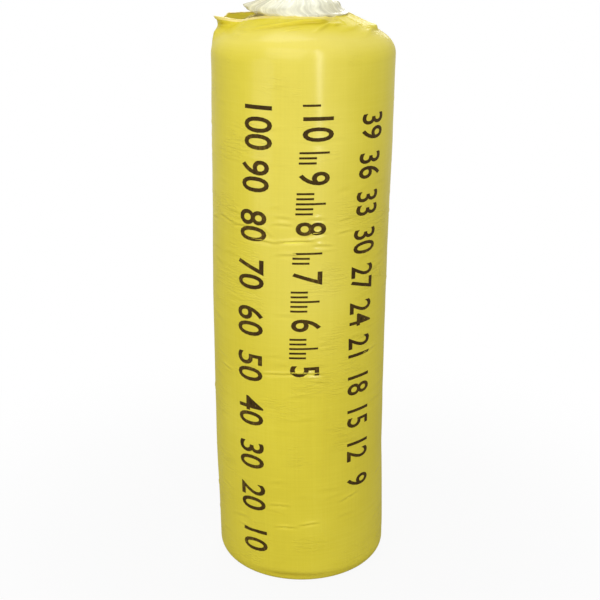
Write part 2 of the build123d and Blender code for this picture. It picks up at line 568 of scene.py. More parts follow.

# %% [markdown]
# ## Creases and folds
#
# A woven plastic sleeve doesn't stretch. Where the roll under it settles, the sleeve buckles in short
# level creases, each a small ridge with a valley under it. The long creases of the front are listed one
# by one, and many small ones are scattered with a fixed seed. A few upright lines were pressed into the
# tube when it lay flat on its reel.

# %% Creases listed one by one
# Angle in degrees, height and length in metres, tilt in degrees, and depth as a share of the deepest
front_creases = [
    (246, 0.772, 0.075, -4, 1.3), (266, 0.775, 0.080, 3, 2.0), (284, 0.766, 0.045, -6, 1.0),
    (262, 0.747, 0.060, 5, 0.9), (231, 0.797, 0.061, 5, 1.0), (216, 0.802, 0.050, -10, 1.2),
    (225, 0.821, 0.045, -5, 0.8), (259, 0.822, 0.040, -3, 0.9), (259, 0.808, 0.042, -2, 1.0),
    (279, 0.820, 0.045, 0, 0.9), (280, 0.790, 0.040, 4, 1.0), (298, 0.789, 0.036, 5, 0.9),
    (249, 0.790, 0.035, -43, 0.7), (300, 0.815, 0.050, 6, 0.7), (286, 0.569, 0.034, -9, 0.9),
    (286, 0.558, 0.029, -2, 0.8), (286, 0.545, 0.022, -6, 0.7), (312, 0.561, 0.070, -7, 0.9),
    (322, 0.520, 0.060, 5, 1.0), (256, 0.493, 0.070, 4, 1.2), (274, 0.495, 0.088, -3, 1.8),
    (284, 0.474, 0.042, -17, 0.8), (270, 0.444, 0.060, 6, 0.8), (250, 0.420, 0.050, -5, 0.7),
    (274, 0.392, 0.050, 4, 0.8), (230, 0.350, 0.050, 7, 0.6), (305, 0.330, 0.060, -5, 0.8),
    (256, 0.191, 0.045, 3, 1.3), (305, 0.197, 0.055, 12, 1.1), (260, 0.140, 0.050, 3, 1.3),
    (276, 0.148, 0.045, 7, 1.2), (232, 0.120, 0.060, -8, 0.9), (240, 0.930, 0.060, -6, 0.7),
    (290, 0.975, 0.060, 4, 0.6), (225, 0.640, 0.050, 5, 0.7), (262, 0.620, 0.060, -4, 0.7),
    (330, 0.700, 0.060, 8, 0.9), (333, 0.400, 0.055, -9, 0.9), (214, 0.480, 0.050, -7, 0.8),
    (215, 0.260, 0.050, 9, 0.8),
]
# Angle in degrees, and the heights between which an upright line runs
pressed_lines = [(262, 0.92, 1.14), (284.5, 0.05, 0.47), (234, 0.04, 0.20), (98, 0.05, 1.1), (20, 0.3, 1.0)]
small_creases = 210
print(len(front_creases), "creases placed by eye,", small_creases, "scattered")


# %% Creases on the sleeve's side
def crease(angle, run, centre, height, length, tilt, depth, width):
    """One crease: a ridge with a valley under it, fading at both ends."""
    across = turned(angle, centre) * sleeve_radius
    up = run - height
    slope = radians(tilt)
    along = (across * math.cos(slope) + up * math.sin(slope)) / (length / 2)
    aside = (up * math.cos(slope) - across * math.sin(slope)) / width
    aside = aside + 0.6 * along * along
    ends = np.clip(1 - along * along, 0.0, 1.0)
    return depth * ends * aside * np.exp(0.5 - aside * aside)


def sleeve_relief(angle, run):
    """How far the sleeve's side stands out from a true cylinder, in metres."""
    height = run - run_shift
    relief = 0.0007 * waves(angle, run, 9, 0.16, 11) + 0.0004 * waves(angle, run, 24, 0.045, 12)
    for centre, level, length, tilt, depth in front_creases:
        relief += crease(angle, height, radians(centre), level, length, tilt, depth * 0.0022, 0.0036)
    chance = np.random.default_rng(7)
    for _ in range(small_creases):
        centre, level = chance.uniform(0, 2 * pi), chance.uniform(0.04, 1.08)
        length, tilt = chance.uniform(0.02, 0.07), chance.uniform(-14, 14)
        depth = chance.uniform(0.0003, 0.0010)
        width = chance.uniform(0.003, 0.006)
        if abs(turned(centre, radians(270))) > 1.1:
            depth = depth * 1.7
        relief += crease(angle, height, centre, level, length, tilt, depth, width)
    for centre, low, high in pressed_lines:
        line = np.exp(-((turned(angle, radians(centre)) * sleeve_radius / 0.006) ** 2))
        relief += 0.0006 * line * ramp(low, low + 0.05, height) * (1 - ramp(high - 0.05, high, height))
    return relief * ramp(0.03, 0.06, height)


# %% [markdown]
# ## Folds at the two ends
#
# Just above the base edge the roll's weight has pressed a crease, with a roll of cloth under it. At the
# top the cloth is wider than the mouth that it is drawn into, so it folds towards the mouth, and its
# slack stands a few millimetres off the shoulder at the front. Longer folds slant across the shoulder
# where the cloth was dragged over it. The depth of their valleys, and of the base crease's, is kept for
# the material, which paints shade into them.


# %% Base fold and mouth folds
def base_fold(angle, run):
    """Relief of the crease above the base edge and of the roll of cloth under it, and its valley alone,
    which becomes painted shade.
    """
    height = run - run_shift - 0.0020 * waves(angle, 0 * run, 7, 1.0, 18)
    where = bump(turned(angle, radians(266)), 0.0, 0.60)
    where = where + 0.7 * bump(turned(angle, radians(60)), 0.0, 0.5)
    valley = (1 + 0.4 * waves(angle, 0 * run, 11, 1.0, 17)) * bump(height, 0.0215, 0.0062) * where
    # The valley alone goes on as painted shade for the crease above the base.
    return 0.0013 * bump(height, 0.0105, 0.0060) * where - 0.0021 * valley, valley


def top_folds(angle, share):
    """Folds where the sleeve is drawn in over the shoulder, growing towards its mouth."""
    relief = 0 * angle * share
    chance = np.random.default_rng(23)
    fold_count = 26
    for index in range(fold_count):
        centre = 2 * pi * (index + chance.uniform(-0.35, 0.35)) / fold_count
        swing, width = chance.uniform(-0.25, 0.25), chance.uniform(0.028, 0.05)
        depth = chance.uniform(0.0008, 0.0026)
        start = chance.uniform(0.30, 0.65)
        if abs(turned(centre, radians(290))) < 1.25:
            depth, start = depth * 0.45, start + 0.2
        line = turned(angle, centre + swing * (share - start)) / width
        pair = line * np.exp(0.5 - line * line) + 0.8 * np.exp(-line * line)
        relief += depth * ramp(start, 1.05, share) * pair
    return relief


def front_slack(angle, share):
    """The slack cloth that stands off the shoulder at the front, and a faint ridge where it turns in."""
    off = ramp(0.02, 0.30, share) * (1 - ramp(0.34, 0.72, share))
    off = off * ramp(radians(222), radians(248), angle)
    off = 0.0055 * off * (1 - ramp(radians(292), radians(325), angle))
    front = bump(turned(angle, radians(275)), 0.0, 1.1)
    ridge = bump(share + 0.03 * waves(angle, 0 * share, 15, 1.0, 27), 0.36, 0.07)
    return 0.0005 * ridge * front + off


# %% Long folds dragged across the shoulder
# Each is a line in plan, in millimetres, with its depth and width: a valley, and a ridge inside it
drag_folds = [
    ([(-88, -100), (-70, -106), (-45, -112), (-20, -112), (2, -109), (30, -105)], 7.0, 7.0),
    ([(-30, -113), (2, -108), (36, -102), (47, -90), (60, -78)], 9.5, 8.0),
    ([(-30, -133), (-14, -131), (4, -127)], 3.4, 4.5),
    ([(28, -136), (38, -122), (56, -97)], 5.0, 5.0),
    ([(58, -104), (66, -96), (72, -88)], 4.0, 4.5),
    ([(-118, -70), (-104, -88), (-90, -96)], 2.0, 6.0),
    ([(-140, -62), (-132, -84), (-112, -108)], 1.6, 7.0),
    ([(80, -110), (100, -84), (108, -60)], 1.8, 7.0),
    ([(122, -96), (136, -62), (138, -30)], 1.8, 8.0),
    ([(138, -40), (146, -18), (147, 6), (140, 28)], 8.0, 11.0),
    ([(112, 2), (132, 14), (152, 34)], 2.6, 7.0),
    ([(88, 60), (108, 84), (124, 110)], 2.8, 7.0),
    ([(40, 112), (44, 134), (36, 158)], 2.6, 6.0),
    ([(-6, 122), (-14, 142), (-18, 166)], 2.2, 6.0),
]
print(len(drag_folds), "folds across the shoulder")


def along_line(plan, line):
    """How far each spot is from a line in plan, more than 0 on its inner side, and how far along it."""
    corners = np.array(line, dtype=float)
    lengths = np.linalg.norm(np.diff(corners, axis=0), axis=1)
    nearest, offset, along = 0 * plan[:, :, 0] + 1e9, 0 * plan[:, :, 0], 0 * plan[:, :, 0]
    for index, length in enumerate(lengths):
        start, step = corners[index], (corners[index + 1] - corners[index]) / length
        reach = np.clip((plan - start) @ step, 0.0, length)
        foot = start + reach[:, :, None] * step
        distance = np.linalg.norm(plan - start - reach[:, :, None] * step, axis=2)
        inner = np.sign(np.linalg.norm(foot, axis=2) - np.linalg.norm(plan, axis=2))
        closer = distance < nearest
        nearest = np.where(closer, distance, nearest)
        offset = np.where(closer, inner * distance, offset)
        along = np.where(closer, (lengths[:index].sum() + reach) / lengths.sum(), along)
    return offset, along


def drag_relief(points):
    """The long folds: how far each spot stands out, slides down the slope, and how much painted shade it
    gets.
    """
    plan = points[:, :, :2] * 1000.0
    relief, slide, drag_fold_shade = 0 * plan[:, :, 0], 0 * plan[:, :, 0], 0 * plan[:, :, 0]
    for line, depth, width in drag_folds:
        offset, along = along_line(plan, line)
        ends = np.sin(pi * np.clip(0.06 + along * 0.9, 0.0, 1.0)) ** 0.7
        ridge = 0.0007 * depth * ends * bump(offset, 0.7 * width, 0.8 * width)
        valley = 0.00025 * depth * ends * bump(offset, -0.7 * width, 0.8 * width)
        relief = np.maximum(relief, ridge) - valley
        slide = np.maximum(slide, ridge)
        # Painted shade for the valley on the fold's outer side.
        shade_here = depth / 8.0 * ends * bump(offset, -0.45 * width, 0.65 * width)
        drag_fold_shade = np.maximum(drag_fold_shade, shade_here)
    return relief, slide, drag_fold_shade


# %% [markdown]
# ## The sleeve's mesh
#
# The outer face carries every crease. Just inside it runs a plainer inner face, and the two are joined
# at both cut edges, so the sleeve is a closed sheet with a real thickness and its inside shows at the
# collar. The inner face needs few rows, because most of it is hidden.


# %% Sleeve surface
def ring_points(angle, radius, height):
    """Grid of points from polar rows, with the roll's slight lean and its sunken right."""
    across, deep = radius * np.cos(angle), radius * np.sin(angle)
    return np.stack([across + leaning(height), deep, settled(across, height)], axis=2)


def top_share():
    """How far each row is up the sleeve's top run: 0 at the shoulder's start and 1 at the mouth."""
    rows = np.arange(len(side_run))
    return np.clip((rows - len(side_run) + top_rows) / (top_rows - 1), 0.0, 1.0)[:, None]


def sleeve_grid():
    """The outer face with every crease, the plainer face behind it, and how much painted shade lies in its
    folds.
    """
    angle = side_angles[None, :] + 0 * side_run[:, None]
    smooth_face = ring_points(angle, side_radius, side_height)
    out = normals(smooth_face)
    run = side_run[:, None] + 0 * angle
    share = top_share() + 0 * angle
    low_relief, low_fold_shade = base_fold(angle, run)
    relief = sleeve_relief(angle, run) * (1 - 0.6 * ramp(0.2, 0.6, share)) + low_relief
    lying = ramp(0.05, 0.20, share) * (1 - standing(angle))
    folds, slide, drag_fold_shade = drag_relief(smooth_face)
    relief += folds * lying
    relief += front_slack(angle, share)
    relief += top_folds(angle, share) * (1 - 0.5 * standing(angle))
    pleat = (angle / (2 * pi) * under_pleats + 0.35 * waves(angle, run, 13, 1.0, 31)) % 1.0
    relief -= 0.0009 * ramp(0.0, 0.03, -run) * pleat
    uphill = np.gradient(smooth_face, axis=0)
    uphill = uphill / np.maximum(np.linalg.norm(uphill, axis=2, keepdims=True), 1e-9)
    shaped = smooth_face + out * relief[:, :, None] - uphill * (slide * lying)[:, :, None]
    plain = smooth_face + out * np.minimum(relief, 0.0)[:, :, None]
    ear = bump(turned(angle, ear_angle), 0.0, 0.13)
    pinch = -0.0140 * bump(share, 0.76, 0.10) * ear + 0.0075 * ramp(0.86, 1.0, share) * ear
    for face in (shaped, plain):
        face[:, :, 0] += pinch * np.cos(angle)
        face[:, :, 1] += pinch * np.sin(angle)
        face[:, :, 2] = np.maximum(face[:, :, 2], 0.0)
    # The last grid is painted shade for the folds' valleys and the crease above the base.
    return shaped, plain, drag_fold_shade * lying + 1.1 * low_fold_shade


sleeve_points, plain_points, sleeve_fold_shade = sleeve_grid()
sleeve_normals = normals(sleeve_points)
sleeve_reach = float(np.linalg.norm(sleeve_points[:, :, :2], axis=2).max())
print("sleeve reaches", round(sleeve_reach, 4), "m from the axis")


# %% Sleeve mesh
def sleeve_piece():
    """The closed sleeve: the outer face up, then the inner face down."""
    rows = len(side_run)
    top_start = rows - top_rows
    side_start = under_rows + edge_rows - 1
    kept = np.r_[rows - 1 : top_start : -3, top_start : side_start : -40, side_start:0:-4, 0]
    low_thinning = 0.0010 * (np.arange(rows)[:, None] < side_start + 2)
    wall = 0.0018 - 0.0010 * ramp(0.1, 0.5, top_share()) - low_thinning
    inside = plain_points - normals(plain_points) * wall[:, :, None]
    inside = inside[kept]
    inside[:, :, 2] = np.maximum(inside[:, :, 2], 0.0006)
    points = np.concatenate([sleeve_points, inside])
    runs = np.concatenate([side_run, side_run[kept]])
    piece = skin("woven_sleeve_cloth", points, runs, closed_rows=True)
    # The material darkens the folds' valleys by this number, as painted shade.
    number_points(piece, "fold_shade", np.concatenate([sleeve_fold_shade, sleeve_fold_shade[kept]]))
    inner_faces = np.repeat(np.arange(len(points)) >= rows, sleeve_columns)
    piece.data.polygons.foreach_set("material_index", inner_faces.astype(int))
    return piece


# %% [markdown]
# ## The woven tape finish
#
# The sleeve is woven from flat yellow plastic tapes about 2.8 mm wide, which pass over and under each
# other. Each tape has its own slight tone, and a thin clear coat gives the cloth its satin gloss. The
# pattern follows the cloth, so it reads the UV map, the sleeve laid flat in metres. Outside, the front
# and the shoulder are turned paler, as a painted sheen, and the shoulder is scuffed and has lost some
# gloss. Painted shade darkens the folds' valleys, and the hot blade that cut the mouth left a pale lip,
# which along the front-left is painted paler still, as a painted highlight. The inside has none of
# these, but its tapes are painted brighter, as painted light on the collar's shaded inside. The weave,
# the fine wrinkles and the ripples are too small to model, so they go into three bumps, one on top of
# the other.

# %% Woven tape sizes
tapes_round = 412
tape_width = 2 * pi * sleeve_radius / tapes_round
# Where the painted sheen lies round the roll, and where the lip's painted highlight starts
sheen_left, sheen_right = radians(245) * sleeve_radius, radians(299) * sleeve_radius
lip_start = radians(184) * sleeve_radius
mouth_run = float(side_run[-1])
print("a tape is", round(tape_width * 1000, 2), "mm wide")


# %% Woven tape material
def aged(bench, cloth, across, along, broad):
    """The outside's colour with a painted sheen on its front and shoulder, and its hot-cut lip painted
    paler along the front-left as a painted highlight.
    """
    # Painted sheen: the front and the shoulder are turned paler and less saturated.
    band = across.between(sheen_left, sheen_right, 0.06)
    band = band * along.held(0.40, 0.75) + along.held(1.13, 1.17) * 0.9
    painted_sheen = band * (1 - along.held(1.18, 1.23))
    cloth = mixed(bench, painted_sheen * (0.16 + broad * 0.14), cloth, colour(236, 222, 128))
    # Painted highlight: a pale band along the front-left lip, on top of the hot-cut tape ends.
    near = across.held(lip_start - 0.01, lip_start + 0.01)
    near = near * (1 - across.held(lip_start + 0.10, lip_start + 0.16))
    near = near * 0.45 + (1 - across.held(lip_start + 0.37, lip_start + 0.45)) * 0.30
    melt_and_highlight = near * along.held(mouth_run - 0.0130, mouth_run - 0.0095)
    return mixed(bench, melt_and_highlight, cloth, colour(250, 232, 165))


def woven_material(name, stops, outside):
    material, bench = new_material(name)
    bent, across, along = laid_round(bench)
    warp_wave, weft_wave = [(place_at / tape_width * pi).sine() for place_at in (across, along)]
    over = (warp_wave * weft_wave).held(-0.12, 0.12)
    warp_crown, weft_crown = [1 - (1 - wave.size()) ** 3.0 for wave in (warp_wave, weft_wave)]
    weave = warp_crown * over + weft_crown * (1 - over)
    tone_up = drawn_noise(bench, bent, 1 / tape_width, 4.0, 1.0)
    tone_across = drawn_noise(bench, bent, 4.0, 1 / tape_width, 1.0)
    broad = drawn_noise(bench, bent, 5.0, 5.0, 4.0)
    shade = toned(bench, tone_up * 0.17 + tone_across * 0.17 + broad * 0.66, stops)
    # Darker in the gaps between the tapes, plus painted shade in the folds' valleys from the number on the
    # sleeve's points.
    dark = (1 - weave.held(0.0, 0.35)) * 0.08 + point_number(bench, "fold_shade") * 0.40
    cloth = mixed(bench, dark, shade, (0.55, 0.48, 0.20), "MULTIPLY")
    if outside:
        cloth = aged(bench, cloth, across, along, broad)
    wrinkled = bumped(bench, 0.35, 0.0012, drawn_noise(bench, bent, 26.0, 26.0, 5.0))
    patches = drawn_noise(bench, bent, 10.0, 14.0, 2.0).held(0.50, 0.68)
    ripples = drawn_noise(bench, bent, 26.0, 135.0, 2.0, 0.5).ridged() ** 6.0 * patches
    rippled = bumped(bench, 0.55, 0.0016, ripples, wrinkled)
    surface(bench, {
        "Base Color": cloth, "Roughness": 0.34 + broad * 0.12, "IOR": 1.06,
        "Coat Weight": 0.24 - along.held(1.16, 1.21) * 0.14, "Coat Roughness": 0.22, "Coat IOR": 2.0,
        "Normal": bumped(bench, 0.30, 0.00020, weave, rippled),
    })
    return material


outside_stops = [(0.25, colour(213, 196, 50)), (0.5, colour(221, 205, 57)), (0.75, colour(228, 213, 69))]
# The inside's tapes are painted brighter than the outside's, as painted light on the collar's shaded
# inside.
inside_lit_stops = [(0.25, colour(240, 230, 80)), (0.5, colour(247, 238, 92)), (0.75, colour(251, 244, 104))]
tapes = [
    woven_material("woven_outside", outside_stops, True),
    woven_material("woven_inside_lit", inside_lit_stops, False),
]
sleeve = place(sleeve_piece(), "woven_sleeve", slot="woven_sleeve", materials=tapes)

# %% [markdown]
# ## The print
#
# The sleeve is printed in dark brown ink: three columns that read downwards, and that wander a little
# because the sleeve sits on the roll slightly twisted. Here they are plain scales of the height above
# the floor, in centimetres, in decimetres with ticks, and in inches. Each number is a font outline cut
# into small faces, which are then laid on the sleeve's own surface, so that it bends with the creases.

# %% Print sizes
number_height = 0.083
ink_lift = 0.00028
inch = 0.0254
tick_foot, tick_half_width = 0.029, 0.0021
short_tick, long_tick = 0.034, 0.058
# The twist of the sleeve, in degrees, at some heights
twist_heights, twists = [0.10, 0.50, 0.70, 0.90, 1.04], [1.0, 0.0, 1.0, 4.0, 6.5]
# Ticks that would run into a number
hidden_ticks = (76, 77, 96, 97, 103)
# The angle of each column's middle, in degrees
centimetre_column, decimetre_column, inch_column = 235.5, 272.5, 311.0


# %% Laying flat shapes on the sleeve
def on_sleeve(angle, height, lift):
    """Points on the sleeve's outer face at an angle and a height, lifted off it along its normal."""
    rows = np.interp(height + run_shift, side_run, np.arange(len(side_run)))
    columns = (angle / (2 * pi) * sleeve_columns) % sleeve_columns
    row, column = np.floor(rows).astype(int), np.floor(columns).astype(int)
    up, across = (rows - row)[:, None], (columns - column)[:, None]
    above, right = np.minimum(row + 1, len(side_run) - 1), (column + 1) % sleeve_columns

    def between_points(grid):
        low = grid[row, column] * (1 - across) + grid[row, right] * across
        high = grid[above, column] * (1 - across) + grid[above, right] * across
        return low * (1 - up) + high * up

    return between_points(sleeve_points) + between_points(sleeve_normals) * lift


def number_outline(number, narrow):
    """A number's faces, x along the reading direction, cut to pieces of a few millimetres."""
    data = bpy.data.curves.new("number", "FONT")
    data.body, data.size, data.offset, data.resolution_u = str(number), number_height, 0.0010, 4
    data.align_x, data.align_y = "CENTER", "CENTER"
    maker = bpy.data.objects.new("number", data)
    mesh = bpy.data.meshes.new_from_object(maker)
    form = bmesh.new()
    form.from_mesh(mesh)
    bmesh.ops.scale(form, vec=(narrow, 1.0, 1.0), verts=form.verts)
    width, tall = max(abs(v.co.x) for v in form.verts), max(abs(v.co.y) for v in form.verts)
    cuts = [((place_at, 0, 0), (1, 0, 0)) for place_at in np.arange(-width, width, 0.0030)]
    cuts += [((0, place_at, 0), (0, 1, 0)) for place_at in np.arange(-tall, tall, 0.0050)]
    for point, across in cuts:
        whole = form.verts[:] + form.edges[:] + form.faces[:]
        bmesh.ops.bisect_plane(form, geom=whole, plane_co=point, plane_no=across)
    corners = np.array([v.co[:2] for v in form.verts])
    form.verts.index_update()
    faces = [[v.index for v in face.verts] for face in form.faces]
    form.free()
    bpy.data.objects.remove(maker)
    return corners, faces


def tick_outline(length):
    """A tick as a strip of short faces, from the numbers' foot up."""
    rows, sides = np.linspace(0, length, 12), (-tick_half_width, tick_half_width)
    corners = [(side, row - tick_foot) for row in rows for side in sides]
    return np.array(corners), [[i, i + 1, i + 3, i + 2] for i in range(0, len(corners) - 2, 2)]


def print_piece():
    corners, faces, total = [], [], 0

    def lay(shape, centre, height):
        nonlocal total
        points, sides = shape
        twist = np.interp(height, twist_heights, twists)
        angle = radians(centre + twist) + points[:, 1] / sleeve_radius
        corners.append(on_sleeve(angle, height - points[:, 0], ink_lift))
        faces.extend([[index + total for index in side] for side in sides])
        total += len(points)

    for centimetres in range(10, 110, 10):
        lay(number_outline(centimetres, 0.80), centimetre_column, centimetres * 0.01)
    for decimetres in range(5, 11):
        lay(number_outline(decimetres, 0.72), decimetre_column, decimetres * 0.1)
    for inches in range(9, 42, 3):
        lay(number_outline(inches, 0.66), inch_column, inches * inch)
    for centimetres in range(50, 105):
        if 2 < centimetres % 10 < 8 and centimetres not in hidden_ticks:
            length = long_tick if centimetres % 5 == 0 else short_tick
            lay(tick_outline(length), decimetre_column, centimetres * 0.01)
    mesh = bpy.data.meshes.new("printed_scale")
    mesh.from_pydata(np.concatenate(corners).tolist(), [], faces)
    mesh.shade_smooth()
    return in_scene("printed_scale", mesh)


# %% [markdown]
# ## The ink
#
# Printing ink on woven plastic is thin. Tiny specks of the tape show through it, and it is browner where
# it was laid on more thinly, so fine noise and broad noise mix three browns.


# %% Ink material and the printed scale
def ink_material():
    material, bench = new_material("brown_ink")
    spot = own_place(bench)
    worn = noise(bench, spot, 160.0, 5.0, 0.7)
    browns = [(0.38, colour(50, 34, 6)), (0.55, colour(72, 54, 14)), (0.70, colour(118, 98, 36))]
    shade = toned(bench, worn * 0.6 + noise(bench, spot, 14.0, 2.0) * 0.4, browns)
    surface(bench, {"Base Color": shade, "Roughness": 0.50 + worn * 0.2, "Specular IOR Level": 0.12})
    return material


place(print_piece(), slot="woven_sleeve", materials=[ink_material()])

# %% [markdown]
# ## The sleeve's cut edge
#
# A woven sleeve is cut with a hot blade, which melts its tape ends into a thin pale bead so that they
# don't fray. The bead follows the mouth's last row of points, so Geometry Nodes sweep a small round
# section along that line.


# %% Sealed edge
def sealed_edge(bench, inputs):
    line = bench.add("GeometryNodeObjectInfo", None, {"Object": inputs["Line"]}, output="Geometry")
    path = bench.add("GeometryNodeMeshToCurve", None, {"Mesh": line})
    bead = swept(bench, path, 6, inputs["Bead Radius"])
    return bench.add("GeometryNodeSetShadeSmooth", None, {"Geometry": bead})


def edge_material():
    material, bench = new_material("sealed_edge")
    melt = noise(bench, own_place(bench), 70.0, 3.0)
    shade = toned(bench, melt, [(0.35, colour(226, 208, 92)), (0.65, colour(246, 232, 160))])
    rough = bumped(bench, 0.5, 0.0006, melt)
    surface(bench, {"Base Color": shade, "Roughness": 0.30, "Normal": rough})
    return material


def mouth_line():
    """The mouth's edge as a closed loop of edges, for the nodes to follow."""
    mesh = bpy.data.meshes.new("mouth_line")
    last = sleeve_points[-1] - sleeve_normals[-1] * 0.0004
    loop = [(index, (index + 1) % sleeve_columns) for index in range(sleeve_columns)]
    mesh.from_pydata(last.tolist(), loop, [])
    return bpy.data.objects.new("mouth_line", mesh)


line = mouth_line()
edge_values = {"Line": line, "Bead Radius": 0.0013, "Material": edge_material()}
place(nodes_piece("mouth_bead", sealed_edge, edge_values), slot="woven_sleeve")
bpy.data.objects.remove(line)

# %% [markdown]
# ## The glass wool
#
# The blanket's long side edge is a spiral of nearly fifty turns, and it is what shows at both ends of
# the roll through the film. The body under it is a plain turned form with the bore down its middle, made
# as one closed grid of rows: under the base, round the base edge, up the side, over the top and down the
# bore. Its ends are sunk a little, to leave room for the spiral.


# %% Glass wool body
def dish_height(radius):
    """Height of the wool's underside: an arc inside the dish, and level outside it."""
    inside = dish_depth - dish_bend + np.sqrt(dish_bend**2 - np.minimum(radius, dish_radius) ** 2)
    return wool_base + np.maximum(inside, 0.0)


def crown_height(radius):
    """Height of the wool's domed top inside its shoulder."""
    return crown_z + np.sqrt(crown_radius**2 - radius**2)


def wool_body():
    columns, sunk = 128, 0.0016
    angle = np.arange(columns) / columns * 2 * pi
    distance = np.linspace(0.0, 0.235, 40)
    top_r, top_h = over_the_top(distance, 0.0)
    kept = top_r > bore_radius + 0.004
    top_r, top_h = top_r[kept], top_h[kept] - sunk * ramp(0.0, 0.03, distance[kept])
    edge = np.linspace(-pi / 2, 0.0, 8)
    edge_r = base_flat_x + base_edge_radius * np.cos(edge)
    edge_h = wool_base + base_edge_radius + base_edge_radius * np.sin(edge)
    base_r = np.linspace(bore_radius, base_flat_x, 24)[:-1]
    base_h = dish_height(base_r) + sunk
    side_h = np.linspace(edge_h[-1], shoulder_z, 24)[1:-1]
    bore_h = np.linspace(wool_top - sunk - 0.003, base_h[0], 24)[:-1]
    radius = np.concatenate([base_r, edge_r, wool_radius + 0 * side_h, top_r, bore_radius + 0 * bore_h])
    height = np.concatenate([base_h, edge_h, side_h, top_h, bore_h])
    flat = 0 * angle[None, :] + 0 * radius[:, None]
    points = ring_points(angle[None, :] + flat, radius[:, None] + flat, height[:, None] + flat)
    return skin("wool_body", points, np.linspace(0.0, 3.0, len(radius)), closed_rows=True)


# %% [markdown]
# ## The spiral edge of the blanket
#
# Each turn of the blanket bulges softly at the roll's end, and a dark line shows between it and the
# next. The turns follow a rule, so Geometry Nodes make them: a Spiral curve gives the path, a formula
# lifts it on to the domed end, and a soft round section is swept along it. Noise then pulls the turns
# unevenly in and out, as fibres do. The same tree makes the base's turns from other values.


# %% Spiral turns
def spiral_turns(bench, inputs):
    spiral = bench.add("GeometryNodeCurveSpiral", None, {
        "Resolution": 60, "Rotations": inputs["Turns"], "Start Radius": inputs["Inner Radius"],
        "End Radius": inputs["Outer Radius"], "Height": 0.0,
    })
    across, deep, _ = axes(bench, bench.add("GeometryNodeInputPosition"))
    radius = (across * across + deep * deep) ** 0.5
    bend = inputs["Bend Radius"]
    dome = inputs["Peak Height"] - bend + (bend * bend - radius * radius) ** 0.5
    from_rim = radius - inputs["Rim Centre"]
    rim_square = inputs["Rim Radius"] * inputs["Rim Radius"] - from_rim * from_rim
    rim = inputs["Rim Height"] + rim_square.highest(0.0) ** 0.5
    past = radius.above(inputs["Dome Limit"])
    height = dome * (1 - past) + rim * past
    height = height.highest(inputs["Lowest"]) + inputs["Sink"]
    lean = sum(height.held(low, high) * reach for reach, low, high in leans)
    sunk = across.held(*sunk_across) * height.held(*sunk_up) * sunk_depth
    raised = joined(bench, across + lean, deep, height - sunk)
    path = bench.add("GeometryNodeSetPosition", None, {"Geometry": spiral, "Position": raised})
    strand = swept(bench, path, 7, inputs["Section Radius"])
    fine, broad = [
        bench.add("ShaderNodeTexNoise", {"noise_dimensions": "4D"},
                  {"W": inputs["Seed"], "Scale": scale, "Detail": detail})
        for scale, detail in ((90.0, 2.0), (22.0, 1.0))
    ]
    pull = (fine - 0.62) * inputs["Unevenness"] + (broad - 0.6) * inputs["Unevenness"] * 2.0
    offset = joined(bench, 0.0, 0.0, pull * inputs["Outward"])
    uneven = bench.add("GeometryNodeSetPosition", None, {"Geometry": strand, "Offset": offset})
    return bench.add("GeometryNodeSetShadeSmooth", None, {"Geometry": uneven})


# %% [markdown]
# ## The finish of glass wool
#
# Glass wool is a mat of fine yellow glass fibre. It has no gloss, and it looks mottled: loose tufts of a
# few centimetres catch the light. Shade is painted into the gaps between the turns: the body under the
# spiral is a darker, browner copy of the same wool. Broad noise makes the tufts and fine noise the
# fibres, and the fine noise also drives the bump, with a still finer one.


# %% Glass wool material
def wool_material(name, stops):
    material, bench = new_material(name)
    spot = own_place(bench)
    tufts = noise(bench, spot, 24.0, 6.0, 0.65)
    fibres = noise(bench, spot, 420.0, 6.0, 0.8)
    rough = bumped(bench, 0.9, 0.0016, fibres * 0.7 + noise(bench, spot, 900.0, 2.0) * 0.3)
    shade = toned(bench, tufts * 0.6 + fibres * 0.4, stops)
    surface(bench, {"Base Color": shade, "Roughness": 0.95, "Normal": rough})
    return material


fibre_stops = [(0.33, colour(176, 148, 50)), (0.47, colour(218, 198, 96)), (0.62, colour(241, 228, 152))]
# Painted shade: the body seen in the gaps between the turns is a darker, browner copy of the wool.
gap_shade_stops = [(0.33, colour(146, 120, 40)), (0.47, colour(176, 150, 60)), (0.62, colour(202, 178, 88))]
gap_shade_wool = wool_material("glass_wool_gap_shade", gap_shade_stops)
place(wool_body(), "glass_wool_roll", slot="glass_wool", materials=[gap_shade_wool])

# %% The turns at the top and at the base
outer_turn = wool_radius - 0.0024
shared_turns = {
    "Inner Radius": bore_radius + turn_pitch * 0.7, "Section Radius": turn_pitch * 0.48,
    "Material": wool_material("glass_wool", fibre_stops),
}
top_turns = {
    **shared_turns, "Turns": (outer_turn - bore_radius) / turn_pitch, "Outer Radius": outer_turn,
    "Bend Radius": crown_radius, "Peak Height": wool_top, "Rim Centre": shoulder_x,
    "Rim Radius": shoulder_radius, "Rim Height": shoulder_z,
    "Dome Limit": crown_radius * math.cos(crown_limit), "Lowest": 0.0, "Sink": -0.0019,
    "Unevenness": 0.0026, "Outward": 1.0, "Seed": 3.0,
}
base_turns = {
    **shared_turns, "Turns": (base_flat_x - bore_radius) / turn_pitch, "Outer Radius": base_flat_x,
    "Bend Radius": dish_bend, "Peak Height": wool_base + dish_depth, "Rim Centre": 0.0,
    "Rim Radius": 0.0, "Rim Height": 0.0, "Dome Limit": 1.0, "Lowest": wool_base, "Sink": 0.0019,
    "Unevenness": 0.0020, "Outward": -1.0, "Seed": 8.0,
}
for name, values in (("wool_turns_top", top_turns), ("wool_turns_base", base_turns)):
    place(nodes_piece(name, spiral_turns, values), "glass_wool_roll", slot="glass_wool")
    print(name, "makes", round(values["Turns"], 1), "turns")

